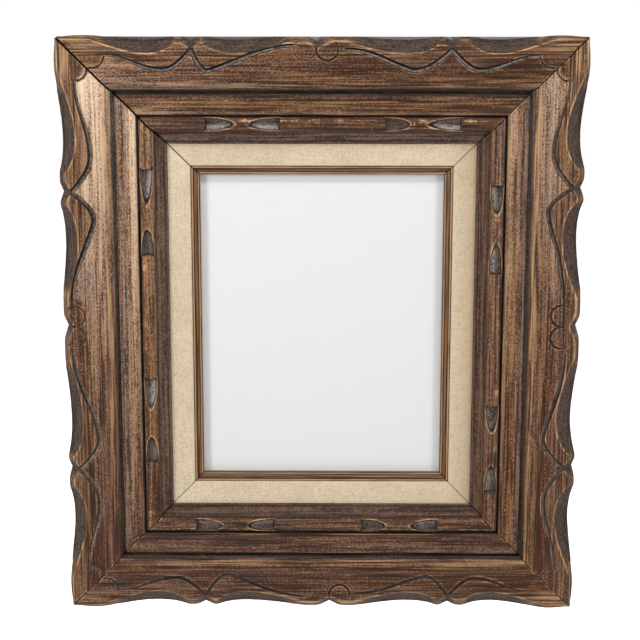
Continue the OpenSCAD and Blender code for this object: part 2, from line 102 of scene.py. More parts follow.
sides = {
    "top": dict(
        levelSide, index=0, seed=1.0, centre=-2.4, mitres=(0.9, 0.4), notches=(0.516, 0.506),
        scoops=(12.4, 12.6), thin=1.0, arcCut=(1, 1),
        leaves=((0.575, 25.6, 6.5, 1.2), (0.655, 25.0, 9.0, 1.2)), curls=(-2.0, 9.4, 8.2), curlCut=(0.6, 1.0),
        gouges=((-0.443, -0.328), (-0.162, -0.289), (0.244, 0.338), (0.53, 0.396)),
        bleachAndSheen=(0.5, -0.25, -0.7), cove=0.0, bead=-0.35, hollow=0.1, rub=(0.6, 0.6, 0.5), coveRub=0.25,
        corner=(0.5, 0.55), leaf=0.14, flakes=0.12, ink=(0.9, 1.0, 0.9), quirk=0.93, shade=0.75, litGrey=0.75,
        red=0.3, streak=0.5, stains=((-138, 50, 20, 5), (-90, 37, 30, 3))),
    "right": dict(
        uprightSide, index=1, seed=2.0, centre=-4.4, mitres=(0.4, 0.35), notches=(0.5135, 0.506),
        scoops=(15.4, 16.2), thin=0.9, arcCut=(0.9, 1),
        leaves=((0.6, 27.5, 13.8, 1.2), (0.62, 26.5, 11.0, 1.2)), curls=(0.0, 14.5, 8.4), curlCut=(1.3, 1.3),
        gouges=((-0.5, -0.4), (-0.198, -0.313), (0.272, 0.367), (0.583, 0.48)),
        bleachAndSheen=(0.8, 0.05, -0.55), cove=0.0, bead=0.0, hollow=-0.05, rub=(1.1, 0.9, 0.5), coveRub=0.0,
        corner=(0.62, 0.1), leaf=0.12, flakes=0.05, ink=(0.8, 0.9, 0.8), quirk=0.82, shade=0.5, litGrey=0.45,
        red=0.6, streak=0.85, stains=((-100, 26, 24, 8), (-30, 24, 16, 6))),
    "bottom": dict(
        levelSide, index=2, seed=3.0, centre=-6.3, mitres=(0.35, 0.4), notches=(0.5095, 0.518),
        scoops=(12.6, 12.4), thin=0.75, arcCut=(0, 1),
        leaves=((0.61, 26.0, 11.0, 1.2), (0.605, 27.0, 8.8, 1.2)), curls=(0.0, 10.6, 7.9),
        curlCut=(1.15, 0.8), gouges=((-0.46, -0.35), (-0.16, -0.26), (0.19, 0.3), (0.5, 0.39)),
        bleachAndSheen=(-0.85, -0.42, -0.6), cove=-0.15, bead=0.0, hollow=-0.5, rub=(0.8, 0.6, 0.5), coveRub=0.0,
        corner=(0.4, 0.2), leaf=0.14, flakes=0.14, ink=(0.92, 0.95, 0.92), quirk=0.97, shade=0.5, litGrey=0.0,
        red=0.32, streak=0.6, stains=((60, 30, 30, 5),)),
    "left": dict(
        uprightSide, index=3, seed=4.0, centre=3.9, mitres=(0.4, 0.9), notches=(0.498, 0.528),
        scoops=(13.6, 13.0), thin=1.0, arcCut=(0.9, 1),
        leaves=((0.62, 25.2, 7.0, 1.7), (0.615, 25.9, 7.6, 1.3)), curls=(0.0, 9.0, 7.8), curlCut=(0.95, 0.95),
        gouges=((-0.475, -0.378), (-0.175, -0.285), (0.262, 0.355), (0.555, 0.43)),
        bleachAndSheen=(-1.0, 0.3, 1.8), cove=0.15, bead=0.0, hollow=0.1, rub=(0.35, 0.8, 1.0), coveRub=0.0,
        corner=(0.15, 0.62), leaf=0.2, flakes=0.0, ink=(0.6, 0.95, 0.85), quirk=0.88, shade=0.28, litGrey=0.75,
        red=0.48, streak=0.85, stains=((36, 18, 26, 8), (-150, 30, 20, 5))),
}


def upright(side):
    return sides[side]["index"] % 2 == 1


def halfOf(side):
    return (frameHigh if upright(side) else frameWide) / 2


def onSide(side):
    # From a stick lying along x, y falling inwards and z up from its back, to its place in the frame
    off = (frameWide if upright(side) else frameHigh) / 2
    turn = Matrix.Rotation(math.radians(90 * sides[side]["index"]), 4, "Y")
    standing = Matrix.Translation((0, 0, off)) @ Matrix.Rotation(math.radians(90), 4, "X")
    return Matrix.Scale(mm, 4) @ turn @ standing


def clamp(x, low=0.0, high=1.0):
    return max(low, min(high, x))


def smooth(a, b, x):
    t = clamp((x - a) / (b - a))
    return t * t * (3 - 2 * t)


def noiseAt(x, y, z):
    return noise.noise(Vector((x, y, z)))


def arc(x, y, rx, ry, start, stop, n):
    return [(x + rx * math.cos(math.radians(start + (stop - start) * i / n)),
             y + ry * math.sin(math.radians(start + (stop - start) * i / n))) for i in range(n + 1)]


# The carved motif, as shares from a rail's end, 0, to the motif's centre, 1
def scoop(t, a, b, lean, full, deep):
    return deep * math.sin(math.pi * ((t - a) / (b - a)) ** lean) ** full if a < t < b else 0.0


def notch(t, at, wide=1.0):
    c = carving
    return c["notchIn"] * max(0.0, 1 - abs(t - at) / (c["notchHalf"] * wide)) ** c["notchPoint"]


def edgeIn(side, t):
    c, (first, second) = carving, sides[side]["scoops"]
    lobe = c["lobeIn"] * clamp((t - c["lobeFrom"]) / c["lobeOver"])
    lobe *= 1 - c["lobeThin"] * smooth(*c["lobeFade"], t)
    rest = 1 - c["lobeIn"] / c["notchIn"]
    return lobe + max(scoop(t, *c["firstScoop"], first - c["lobeIn"] * 0.75),
                      scoop(t, *c["secondScoop"], second - c["lobeIn"]),
                      notch(t, c["notchAt"]) * rest, notch(t, 1.0, c["centreWide"]) * rest * 1.1)


def lineIn(side, x):
    c, s, t = carving, sides[side], share(side, x)
    start = s["lineFrom"]
    t = clamp(t, start, c["lineTo"])
    if t < c["notchAt"]:
        p = (t - start) / (c["notchAt"] - start)
        if p < c["fallFrom"]:
            return c["lineIn"] + c["lineRise"] * math.sin(math.radians(c["riseTurn"] * p)) ** 2
        fallen = math.radians(c["fallTurn"] * (p - c["fallFrom"]))
        return c["lineTop"] - c["lineFall"] * (1 - math.cos(fallen))
    turn, peak, last, bend = s["leaves"][0 if x < s["centre"] else 1]
    if t < turn:
        q = (t - c["notchAt"]) / (turn - c["notchAt"])
        return c["notchIn"] + (peak - c["notchIn"]) * math.sin(math.radians(90 * q))
    q = (t - turn) / (c["lineTo"] - turn)
    return peak - (peak - last) * math.sin(math.radians(90 * q)) ** bend


def lineHalf(side, t):
    # The line swells in the middle of each leaf and is thin where it starts and ends
    start = sides[side]["lineFrom"]
    swell = 0.55 + 0.45 * smooth(start, 0.4, t)
    if t > carving["notchAt"]:
        swell = 1 - 0.35 * smooth(0.75, 0.91, t)
    return carving["lineHalf"] * swell * sides[side]["thin"]


def share(side, x):
    # Share along the motif, with the notch pulled to where this end has it
    s, half, c = sides[side], halfOf(side), sides[side]["centre"]
    first = x < c
    t = (x + half) / (half + c) if first else (half - x) / (half - c)
    at = s["notches"][0 if first else 1]
    if t < at:
        return t / at * carving["notchAt"]
    return carving["notchAt"] + (t - at) / (1 - at) * (1 - carving["notchAt"])


def crown(u):
    return frameDeep - rail["fall"] * (1 - u / (rail["panel"] / 2)) ** 2


def ringLine(dx, du, r, start, stop):
    # Distance from an arc's line, or beyond its span from its nearer end; angles as seen from the front
    angle = math.degrees(math.atan2(-du, dx)) % 360
    off = abs(math.hypot(dx, du) - r)
    if start <= angle <= stop or start <= angle + 360 <= stop:
        return off
    return min(math.hypot(dx - r * math.cos(math.radians(a)), -du - r * math.sin(math.radians(a)))
               for a in (start, stop))


def grooveAt(side, x, u, t, line, lean):
    # At a point, how deep the cut lines are, how near their rims it is, how dark they are from glaze and
    # painted shade, and how much painted light falls on the line's inner flank
    c, s, half = carving, sides[side], halfOf(side)
    start, last = s["lineFrom"], c["lineTo"]
    cuts = []             # each is (distance from its middle, half width, depth, share of painted light on its inner flank)
    if start - 0.01 < t < last + 0.01:
        wide = lineHalf(side, t)
        fade = smooth(start - 0.01, start + 0.004, t) * (1 - smooth(last - 0.02, last + 0.01, t))
        cuts.append((abs(u - line) / math.hypot(1, lean), wide * (0.6 + 0.4 * fade),
                     c["lineDeep"] * fade * wide / c["lineHalf"], smooth(-0.3, 0.3, (u - line) / wide)))
    endX = x + half if x < 0 else half - x
    along, inward, r, a, b = s["arc"]
    deep = c["arcDeep"] * s["arcCut"][0 if x < 0 else 1]
    cuts.append((ringLine(endX - along, u - inward, r, a, b), c["arcHalf"], deep, 0.0))
    shift, inward, r = s["curls"]
    mid = x - s["centre"] - shift
    for way, cut in zip((-1, 1), s["curlCut"]):      # each curl's cut swells on its inner side
        dx = (mid - way * (r + c["curlGap"])) * way
        swell = 0.45 + 0.55 * smooth(-0.4, 1, (u - inward) / r)
        deep = c["curlDeep"][0] + c["curlDeep"][1] * cut
        cuts.append((ringLine(dx, u - inward, r, *c["curlSpan"]), max(0.4, cut * swell), deep, 0.0))
    deep, rim, dirtAndShade, litGrey = 0.0, 0.0, 0.0, 0.0
    # grey is the share of painted light; the lit flank is painted less dark
    for off, halfWide, most, grey in cuts:
        if most <= 0.05:
            continue
        if off < halfWide:
            deep = max(deep, most * (1 - (off / halfWide) ** c["cutRound"]))
            near = off / halfWide
            grey *= 1 - smooth(0.5, 0.8, near)
            dirtAndShade = max(dirtAndShade, min(1.0, most) * (1 - 0.32 * grey) * (1 - smooth(0.93, 1.0, near)))
            litGrey = max(litGrey, grey * s["litGrey"])
        rim = max(rim, min(1.0, most) * max(0.0, 1 - abs(off - halfWide - 0.25) / 0.45))
    return deep, rim, dirtAndShade, litGrey


def gougeAt(side, x, u):
    # Height that the gouges leave on the bead, how far the point is from their blunt ends, and their length
    c, half = carving, halfOf(side)
    low, far, reach = 1e9, 1e9, 0.0
    w = u - beadMid
    for blunt, tip in sides[side]["gouges"]:
        blunt, tip = blunt * half, tip * half
        long = abs(tip - blunt)
        along = ((x - blunt) * (1 if tip > blunt else -1) + w * w / c["gougeBow"]) / long
        if -0.001 < along < 1.15 and abs(w) < c["gougeR"]:
            bluff = clamp(3.6 - 0.085 * long, 1.2, 2.2)      # short ones are bullet-shaped
            rise = c["gougeDeep"] * along ** bluff if along > 0 else 0
            floor = beadTop - c["gougeDeep"] + rise
            low = min(low, floor + c["gougeR"] - math.sqrt(c["gougeR"] ** 2 - w * w))
            far = min(far, along * long)
            reach = long
    return low, far, reach


def gougeDepth(side, x, u):
    # How deep the gouges cut below the round of the bead
    rise = rail["bead"] * 0.45
    k = clamp(abs(u - beadMid) / (rail["bead"] / 2))
    return beadTop - rise + rise * math.sqrt(1 - k * k) - min(gougeAt(side, x, u)[0], beadTop + 3)


def alongSide(side, key, x):
    # A value that is given at a side's first end, middle and second end
    first, middle, last = sides[side][key]
    k = x / halfOf(side)
    return middle + (last - middle) * k if k > 0 else middle + (middle - first) * k


def bleachAndSheenAt(side, x, u, t, line):
    # How far the stain has gone pale, with the painted sheen that each side's values put on the uprights'
    # upper ends. The leaves stay dark, and so does what the corner arc and the curls enclose, with a soft
    # edge there.
    s, c = sides[side], carving
    here = alongSide(side, "bleachAndSheen", x)
    # painted shade: on the level rails the cove and bead are darker, as they lack the uprights' sheen
    flat = 0.0 if upright(side) else 0.24
    atArc = 1 - smooth(s["lineFrom"] - 0.03, s["lineFrom"], t)
    atCurl = smooth(c["lineTo"] - 0.03, c["lineTo"], t)
    arcIn, curlIn = s["arc"][1] + s["arc"][2] - 1, s["curls"][1] + s["curls"][2]
    line += (arcIn - line) * atArc + (curlIn - line) * atCurl
    if u < rail["panel"]:
        inside = smooth(-3.5 * max(atArc, atCurl) - 0.1, 0, u - line)
        bare = here * (0.45 + 0.55 * smooth(0, 5, u - line)) * (1 - 0.45 * smooth(31, 37, u))
        return (here * 0.1 - 0.22) * (1 - inside) + bare * inside
    # the cove's inner half is painted paler as a highlight, and on the uprights all of it is lifted
    if u < coveIn:
        bare = smooth(0.3, 0.85, (u - quirkIn) / rail["cove"])
        return here * (0.15 + 0.7 * bare) + 0.2 - flat + s["cove"]
    return here * 0.3 - flat + s["bead"] if u < beadIn else s["hollow"]


def stainAt(side, x, u):
    # Sooty patches, broken up along the grain
    broken = noiseAt(x * 0.07, u * 0.5, 11.0)
    broken += 0.6 * noiseAt(x * 0.25, u * 1.3, 17.0)
    most = 0.0
    for atX, atU, long, wide in sides[side]["stains"]:
        off = math.hypot((x - atX) / long, (u - atU) / wide)
        dark = smooth(0.0, 0.55, 0.55 * (1 - off) + 0.6 * broken)
        most = max(most, 0.4 * dark * (1 - smooth(0.7, 1.15, off)))
    return most


# Plain part of the section, from the carved panel to the lip and back along the rebate.
# Each point is (in, up, worn, dirtAndShade); dirtAndShade is the glaze in the recesses together with painted
# shade in the quirk, under the nose and on the cove's outer part.
def plainSection(side):
    r, shade, sootAndShade, rub = rail, sides[side]["shade"], sides[side]["quirk"], sides[side]["coveRub"]
    noseX, noseZ = r["panel"] - r["nose"] - 0.3, frameDeep - r["fall"] - r["nose"]
    points = [(u, crown(u), 0.14, 0.0) for u in (31.0, 32.2, 33.4)]
    # painted shade: the nose darkens as it rounds down to the quirk, by each side's shade
    points += [(x, z, 0.5 if i < 6 else 0.15, shade * smooth(5, 10, i))
               for i, (x, z) in enumerate(arc(noseX, noseZ, r["nose"], r["nose"] + 0.15, 82, 4, 11))]
    quirk = [(r["panel"], 1.2), (r["panel"] + 0.15, 0.2), (r["panel"] + 0.7, 0), (quirkIn - 0.8, 0)]
    # the quirk is dark by each side's quirk value, glaze and painted shade together
    points += [(x, quirkZ + z, 0, sootAndShade) for x, z in quirk + [(quirkIn - 0.25, 0.3)]]
    coveZ = quirkZ + r["coveHollow"]
    points += [(quirkIn - 0.05, coveZ - 0.3, 0.35, 0.2), (quirkIn + 0.15, coveZ, 0.4, 0)]
    cove = arc((quirkIn + coveIn) / 2, coveZ, r["cove"] / 2 - 0.35, r["coveHollow"], 183, 357, 20)
    # painted shade on the cove's outer part, by each side's shade
    for i, (x, z) in enumerate(cove):
        rubbed = 0.05 + 0.3 * smooth(12, 20, i) + rub * smooth(4, 9, i) * (1 - smooth(11, 14, i))
        points.append((x, z, rubbed, 0.5 * shade * (1 - smooth(1, 8, i))))
    points += [(coveIn - 0.1, coveZ, 0.9, 0), (coveIn + 0.15, coveZ - 0.25, 0.6, 0.2),
               (coveIn + 0.35, coveZ - 1.5, 0, 0.8), (coveIn + 0.5, coveZ - 3.4, 0, 1),
               (beadOut - 0.35, coveZ - 3.6, 0, 1), (beadOut - 0.02, coveZ - 3.3, 0, 1)]
    rise = r["bead"] * 0.45
    for i, (x, z) in enumerate(arc(beadMid, beadTop - rise, r["bead"] / 2, rise, 180, 0, 30)):
        slope = abs(i - 15) / 15
        points.append((x, z, 0.1 * (1 - slope ** 3), 0.6 * smooth(0.8, 1, slope)))
    hollowIn, hollowZ = r["width"] - 2.5, lipBack + 1.6
    sweep = arc(hollowIn, beadTop - rise, hollowIn - beadIn - 0.2, beadTop - rise - hollowZ, 188, 262, 13)
    points += [(x, z, 0.12, 0.6 - 0.3 * smooth(0, 5, i)) for i, (x, z) in enumerate(sweep)]
    lip = arc(r["width"] - 1.3, r["lipFront"] - 1.1, 1.3, 1.1, 165, -40, 12)
    points += [(x, z, 0.12, 0.5) for x, z in lip]
    points += [(r["width"] - 0.5, lipBack, 0, 0.6), (rebateIn, lipBack, 0, 0.6)]
    return points


def railSection(side, x, plain):
    # One station of a rail: a closed run of (in, up, worn, dirtAndShade, paleAndSheen), always with as many
    # points
    c, r, m, s = carving, rail, meshing, sides[side]
    seed = s["seed"] * 37.0
    t = share(side, x)
    wander = noiseAt(x * 0.03, seed, 0.0)
    endX = halfOf(side) - abs(x)
    bulge = c["bulge"] * max(0.0, 1 - ((endX - c["bulgeAt"]) / c["bulgeLong"]) ** 2)
    edge = edgeIn(side, t) + c["edgeWave"] * wander + c["edgeTremble"] * noiseAt(x * 0.25, seed, 3.0)
    edge = max(0.35, edge)
    line = lineIn(side, x) + c["lineWave"] * noiseAt(x * 0.04, seed, 7.0)
    lean = lineIn(side, x + 0.5) - lineIn(side, x - 0.5)
    ink, rub = alongSide(side, "ink", x), alongSide(side, "rub", x)
    tip = s["corner"][0 if x < 0 else 1]
    sideFront = c["sideShare"] * max(0.0, edge - c["lobeIn"])
    sideFront += 0.16 * notch(t, c["notchAt"]) + 0.3 * notch(t, 1.0, c["centreWide"])
    flat, steep = 1 / math.tan(math.radians(c["slope"])), 1 / math.tan(math.radians(c["sideSlope"]))
    edgeZ = crown(edge)
    drop = (edge - sideFront) / (flat - steep)
    if sideFront - drop * steep < 0:
        drop = edge / flat
    sideU = max(0.0, sideFront - drop * steep) - bulge
    points = [(rebateIn, lipBack, 0, 0.6), (rebateIn, 0.3, 0, 0.2), (rebateIn - 0.3, 0, 0, 0.0),
              (14.0, 0, 0, 0.0), (5.0, 0, 0, 0.45), (r["sideFall"] + 0.8, 0, 0, 0.9)]
    sideTop = edgeZ - drop
    for i in range(m["sideRows"]):
        z = 0.7 + (sideTop - 0.7) * i / m["sideRows"]
        u = max(r["sideFall"] * max(0.0, 1 - z / (0.7 * frameDeep)), sideFront - (edgeZ - z) * steep)
        points.append((u - bulge * smooth(0, 0.5 * frameDeep, z), z, 0.05, 0.75))
    inDeep = smooth(4.5, 8.5, edge)          # how dark the scoop's floor is
    for i in range(m["floorRows"]):
        k = i / m["floorRows"]
        hollow = c["sideHollow"] * math.sin(math.pi * k) * min(1.0, drop / 6)
        points.append((sideU + (edge - sideU) * k + hollow * 0.4, sideTop + drop * k - hollow * 0.5,
                       0.25 * (1 - k) ** 4 + 0.5 * smooth(0.9, 1, k) + 0.22 * (1 - inDeep),
                       (0.35 + 0.65 * inDeep) * (0.9 - 0.25 * k) * (1 - smooth(0.93, 1, k))))
    # The dense rows follow the cut line, and spread over the curls at the centre and the lobe at the end
    start = s["lineFrom"]
    low, high = line - m["spread"], line + m["spread"]
    k = 1 - smooth(start - 0.02, start + 0.03, t)
    low, high = low + (m["endRows"][0] - low) * k, high + (m["endRows"][1] - high) * k
    k = smooth(0.86, 0.91, t)
    low, high = low + (m["curlRows"][0] - low) * k, high + (s["curls"][1] + m["curlRows"][1] - high) * k
    low, high = max(low, edge + 1.6), min(high, joinIn - 1)
    rows = [edge, edge + 0.3, edge + 0.65, edge + 1.1]
    rows += [edge + 1.1 + (low - edge - 1.1) * i / 4 for i in range(1, 4)]
    # Between them, half of the rows keep to the cut itself, so that its rims are clean
    reach = 1.15 * lineHalf(side, t)
    outer, inner = max(line - reach, low), min(line + reach, high)
    k = max(1 - smooth(start - 0.02, start + 0.03, t), smooth(0.86, 0.91, t))
    fitted = []
    for count, first, last in zip(m["lineRows"], (low, outer, inner), (outer, inner, high)):
        fitted += [first + (last - first) * i / count for i in range(count)]
    for i, at in enumerate(fitted):
        rows.append(at + (low + (high - low) * i / len(fitted) - at) * k)
    rows += [high + (joinIn - high) * i / m["joinRows"] for i in range(m["joinRows"] + 1)]
    for u in rows:
        deep, rim, dirtAndShade, litGrey = grooveAt(side, x, u, t, line, lean)
        dirtAndShade *= ink
        near = u - edge
        onLobe = (1 - inDeep) * smooth(0.4, 0.47, t)
        stripe = max(1 - smooth(0.5, 1.0, near), 0.62 * onLobe * (1 - smooth(1.4, 2.8, near)))
        inLeaf = smooth(start - 0.06, start, t) * (1 - smooth(c["lineTo"] - 0.06, c["lineTo"], t))
        leaf = s["leaf"] * (1 - smooth(-0.5, 0.8, u - line)) * inLeaf
        plane = 0.25 * max(0.0, 1 - abs(u - 21.7) / 0.5) + 0.1 * smooth(26, 29, u)
        worn = max(stripe * (0.6 + 0.4 * rub), max(leaf, rim * 0.95, plane) * (0.3 + 0.7 * rub))
        worn = max(worn, tip * (1 - smooth(18, 42, endX)) * (1 - smooth(8, 17, u)))
        # paleAndSheen is the painted lit grey in the cuts, and elsewhere the stain's paleness with its
        # painted sheen
        paleAndSheen = litGrey if dirtAndShade > 0.3 else bleachAndSheenAt(side, x, u, t, line)
        points.append((u, crown(u) - deep - 0.25 * (1 - smooth(0, 0.5, near)), worn * (1 - dirtAndShade), dirtAndShade, paleAndSheen))
    points = [p if len(p) == 5 else p + (0.0,) for p in points]
    return points + [(u, z, w * rub, d, bleachAndSheenAt(side, x, u, t, line)) for u, z, w, d in plain]


def beadPoint(side, x, u, z, w, d, paleAndSheen):
    # Cuts the gouges into a point of the bead, with gold rims, insides darkened by glaze and painted shade
    # and a painted silvery sheen on the long ones' floors, and flakes the bead's outer shoulder
    cut, far, reach = gougeAt(side, x, u)
    here = gougeDepth(side, x, u)
    slope = math.hypot(gougeDepth(side, x + 0.3, u) - here, gougeDepth(side, x, u + 0.3) - here) / 0.3
    rim = 1 - smooth(0.25, 0.75, abs(z - cut) / max(slope, 0.12))
    if cut < z:
        edge = max(1 - smooth(0.9, 1.9, z - cut), 1 - smooth(0.6, 1.3, far))
        dark = smooth(0.2, 0.7, z - cut) * (0.7 + 0.3 * edge)
        # painted reflection: a silvery sheen across the floor of the long gouges
        gougeSheen = 0.1 + 0.9 * smooth(-1, 2.5, u - beadMid) * (1 - smooth(3.4, 4.4, u - beadMid))
        return cut, 0.95 * rim, dark, (1 - edge) * gougeSheen * 1.6 * smooth(19, 25, reach)
    if rim > 0.05 or -0.9 < far < 0:
        return z, max(w, 0.95 * rim, 0.95 * (far < 0)), d, paleAndSheen
    if u < beadMid:
        seed = sides[side]["seed"] * 11.0
        flake = noiseAt(x * 0.11, seed, 5.0) + 0.4 * noiseAt(x * 0.5, seed, 9.0)
        flake += 0.8 * noiseAt(x * 0.8, u * 1.1, seed) + sides[side]["flakes"]
        w = max(w, 1.15 * smooth(0.3, 0.55, flake) * (1 - abs(u - beadOut - 2.8) / 2.4))
    return z, w, d, paleAndSheen


def gridMesh(columns, rows, *names):
    # A grid to be shaped point by point, with a value of each of these names at its points
    bm = bmesh.new()
    values = [bm.verts.layers.float.new(name) for name in names]
    bmesh.ops.create_grid(bm, x_segments=columns - 1, y_segments=rows - 1, size=1)
    bm.verts.ensure_lookup_table()
    return bm, *values


def mitreCut(bm, way, at, clear=False):
    # Cuts a stick along a mitre, and returns the cut's points and edges; clear drops what lies beyond it
    cut = bmesh.ops.bisect_plane(bm, geom=bm.verts[:] + bm.edges[:] + bm.faces[:], dist=0.0001,
                                 plane_co=(way * at, 0, 0), plane_no=(way, -1, 0), clear_outer=clear)
    points = [v for v in cut["geom_cut"] if isinstance(v, bmesh.types.BMVert)]
    return points, [e for e in cut["geom_cut"] if isinstance(e, bmesh.types.BMEdge)]


def buildRail(side):
    plain = plainSection(side)
    c, half = carving, halfOf(side)
    # Stations lie closer together where the curls are cut
    stations, x = [], -half
    while x < half:
        stations.append(x)
        x += meshing["near"] + meshing["farther"] * smooth(18, 30, abs(x - sides[side]["centre"]))
    stations.append(half)
    rows = len(railSection(side, 0.0, plain))
    bm, worn, dirtAndShade, bleachAndSheen = gridMesh(len(stations), rows, "worn", "dirtAndShade", "bleachAndSheen")
    seed = sides[side]["seed"] * 11.0
    for i, x in enumerate(stations):
        for j, (u, z, w, d, paleAndSheen) in enumerate(railSection(side, x, plain)):
            v = bm.verts[j * len(stations) + i]
            if beadOut < u < beadIn and z > quirkZ:
                z, w, d, paleAndSheen = beadPoint(side, x, u, z, w, d, paleAndSheen)
            if z > lipBack + 0.5:
                d = max(d, stainAt(side, x, u) * (1 - w))
            wave = noiseAt(x * 0.05, u * 0.3, z * 0.3 + seed)
            small = noiseAt(x * 0.3, u * 0.9, z * 0.9 + seed)
            if z > 1.0 and not (u > 75 and z < lipBack + 0.1):
                z += c["faceWave"] * wave + c["faceTremble"] * small
                u += c["faceShift"] * wave
            v.co = (x, -u, z)
            v[worn] = clamp(w)
            v[dirtAndShade] = clamp(d)
            v[bleachAndSheen] = paleAndSheen
    bmesh.ops.remove_doubles(bm, verts=bm.verts, dist=0.01)
    chip = c["mitreChip"] * 1.4142       # along the edge, as it is seen across the mitre
    for way, gap in zip((-1, 1), sides[side]["mitres"]):
        for v in mitreCut(bm, way, half - gap - chip)[0]:
            if v.co.z > lipBack + 0.5 and v[dirtAndShade] < 0.6:
                v[worn] = clamp(0.7 + 1.2 * noise.noise(v.co * 0.13 + Vector((0, 0, seed))))
        points, rim = mitreCut(bm, way, half - gap, True)
        for v in points:
            v[dirtAndShade], v[worn] = 1.0, 0.0
            if v.co.z > lipBack + 0.5:
                v.co.z -= 0.35 + 0.2 * noise.noise(v.co * 0.2)
        bmesh.ops.holes_fill(bm, edges=rim, sides=0)
    for f in bm.faces:            # the back and the rebate were never stained
        middle = f.calc_center_median()
        if middle.z < 0.5 or (middle.z < lipBack + 0.05 and -middle.y > rebateIn - 0.5):
            f.material_index = 1
    bm.transform(onSide(side))
    bmesh.ops.recalc_face_normals(bm, faces=bm.faces)
    return bm


def meshOf(name, bm):
    mesh = bpy.data.meshes.new(name)
    bm.to_mesh(mesh)
    bm.free()
    return mesh


def addObject(name, data):
    thing = bpy.data.objects.new(name, data)
    bpy.context.scene.collection.objects.link(thing)
    return thing


def makePiece(name, bm, materials, sharp=40):
    mesh = meshOf(name, bm)
    for m in materials:
        mesh.materials.append(m)
    mesh.shade_smooth()
    mesh.set_sharp_from_angle(angle=math.radians(sharp))
    piece = addObject(name, mesh)
    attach(piece, "frame")
    return piece


# Shader helpers
def srgb(r, g, b):
    def one(c):
        c /= 255
        return c / 12.92 if c <= 0.04045 else ((c + 0.055) / 1.055) ** 2.4
    return (one(r), one(g), one(b), 1)


def addNode(tree, kind, **values):
    n = tree.nodes.new(kind)
    for key, value in values.items():
        n.inputs[key].default_value = value
    return n


class Shader:
    def __init__(self, name):
        self.material = bpy.data.materials.new(name)
        self.material.use_nodes = True
        self.tree = self.material.node_tree
        self.tree.nodes.clear()
        self.output = self.node("ShaderNodeOutputMaterial")
        self.bsdf = self.node("ShaderNodeBsdfPrincipled")
        self.tree.links.new(self.bsdf.outputs[0], self.output.inputs["Surface"])
        self.coords = self.node("ShaderNodeTexCoord").outputs["Object"]
        self.normal = None

    def node(self, kind, **values):
        return addNode(self.tree, kind, **values)

    def put(self, socket, value):
        if isinstance(value, bpy.types.NodeSocket):
            self.tree.links.new(value, socket)
        elif value is not None:
            socket.default_value = value

    def mapped(self, scale, move=(0, 0, 0)):
        n = self.node("ShaderNodeMapping", Scale=scale, Location=move)
        self.put(n.inputs["Vector"], self.coords)
        return n.outputs[0]

    def along(self, side, length, across, move=(0, 0, 0)):
        # Coordinates stretched along a side of the frame
        return self.mapped((across, across, length) if upright(side) else (length, across, across), move)

    def noise(self, vector, detail, rough, distort=0.0):
        n = self.node("ShaderNodeTexNoise", Scale=1.0, Detail=detail, Roughness=rough, Distortion=distort)
        self.put(n.inputs["Vector"], vector)
        return n.outputs["Fac"]

    def ramp(self, value, stops):
        n = self.node("ShaderNodeValToRGB")
        self.put(n.inputs[0], value)
        spots = n.color_ramp.elements
        while len(spots) < len(stops):
            spots.new(0.5)
        for spot, (at, colour) in zip(spots, stops):
            spot.position = at
            spot.color = colour if hasattr(colour, "__len__") else (colour, colour, colour, 1)
        return n.outputs[0]

    def math(self, kind, a, b=None, c=None):
        n = self.node("ShaderNodeMath")
        n.operation = kind
        for socket, value in zip(n.inputs, (a, b, c)):
            self.put(socket, value)
        return n.outputs[0]

    def span(self, value, low, high, toHigh=1.0, toLow=0.0):
        ends = {"From Min": low, "From Max": high, "To Min": toLow, "To Max": toHigh}
        n = self.node("ShaderNodeMapRange", **ends)
        self.put(n.inputs["Value"], value)
        return n.outputs[0]

    def blendOf(self, *parts):
        # Sum of values, each times its weight
        total = None
        for value, weight in parts:
            value = self.math("MULTIPLY", value, weight)
            total = value if total is None else self.math("ADD", total, value)
        return total

    def mix(self, share, a, b):
        n = self.node("ShaderNodeMix")
        n.data_type = "RGBA"
        n.clamp_factor = True
        for at, value in zip((0, 6, 7), (share, a, b)):
            self.put(n.inputs[at], value)
        return n.outputs[2]

    def attribute(self, name):
        n = self.node("ShaderNodeAttribute")
        n.attribute_name = name
        return n.outputs["Fac"]

    def bump(self, height, strength, distance):
        n = self.node("ShaderNodeBump", Strength=strength, Distance=distance)
        self.put(n.inputs["Height"], height)
        self.put(n.inputs["Normal"], self.normal)
        self.normal = n.outputs[0]

    def finished(self, colour, rough, gloss=None, bumps=()):
        # Sets what the surface shows; each bump is (height, strength, distance)
        for bump in bumps:
            self.bump(*bump)
        values = (("Base Color", colour), ("Roughness", rough), ("Specular IOR Level", gloss))
        for key, value in values + (("Normal", self.normal),):
            self.put(self.bsdf.inputs[key], value)
        return self.material


# Wood colours; paleAndSheen serves pale wear and chips and the painted sheen, litGrey the painted light on
# cut flanks and gouge floors, and sootAndShade and pitAndShade the dark of glaze and painted shade in
# recesses
wood = dict(
    lights=(srgb(134, 115, 100), srgb(158, 124, 100), srgb(144, 108, 80), srgb(136, 96, 60)),
    darks=(srgb(56, 43, 36), srgb(66, 40, 30), srgb(52, 33, 23), srgb(62, 37, 20)),
    crack=srgb(32, 19, 14), red=srgb(96, 48, 34), gold=srgb(192, 154, 112), tan=srgb(128, 96, 68),
    paleAndSheen=srgb(222, 194, 166), sootAndShade=srgb(40, 33, 30), patina=srgb(88, 72, 63), litGrey=srgb(132, 126, 123),
    pitAndShade=srgb(13, 10, 9), roughLow=0.34, roughHigh=0.75)


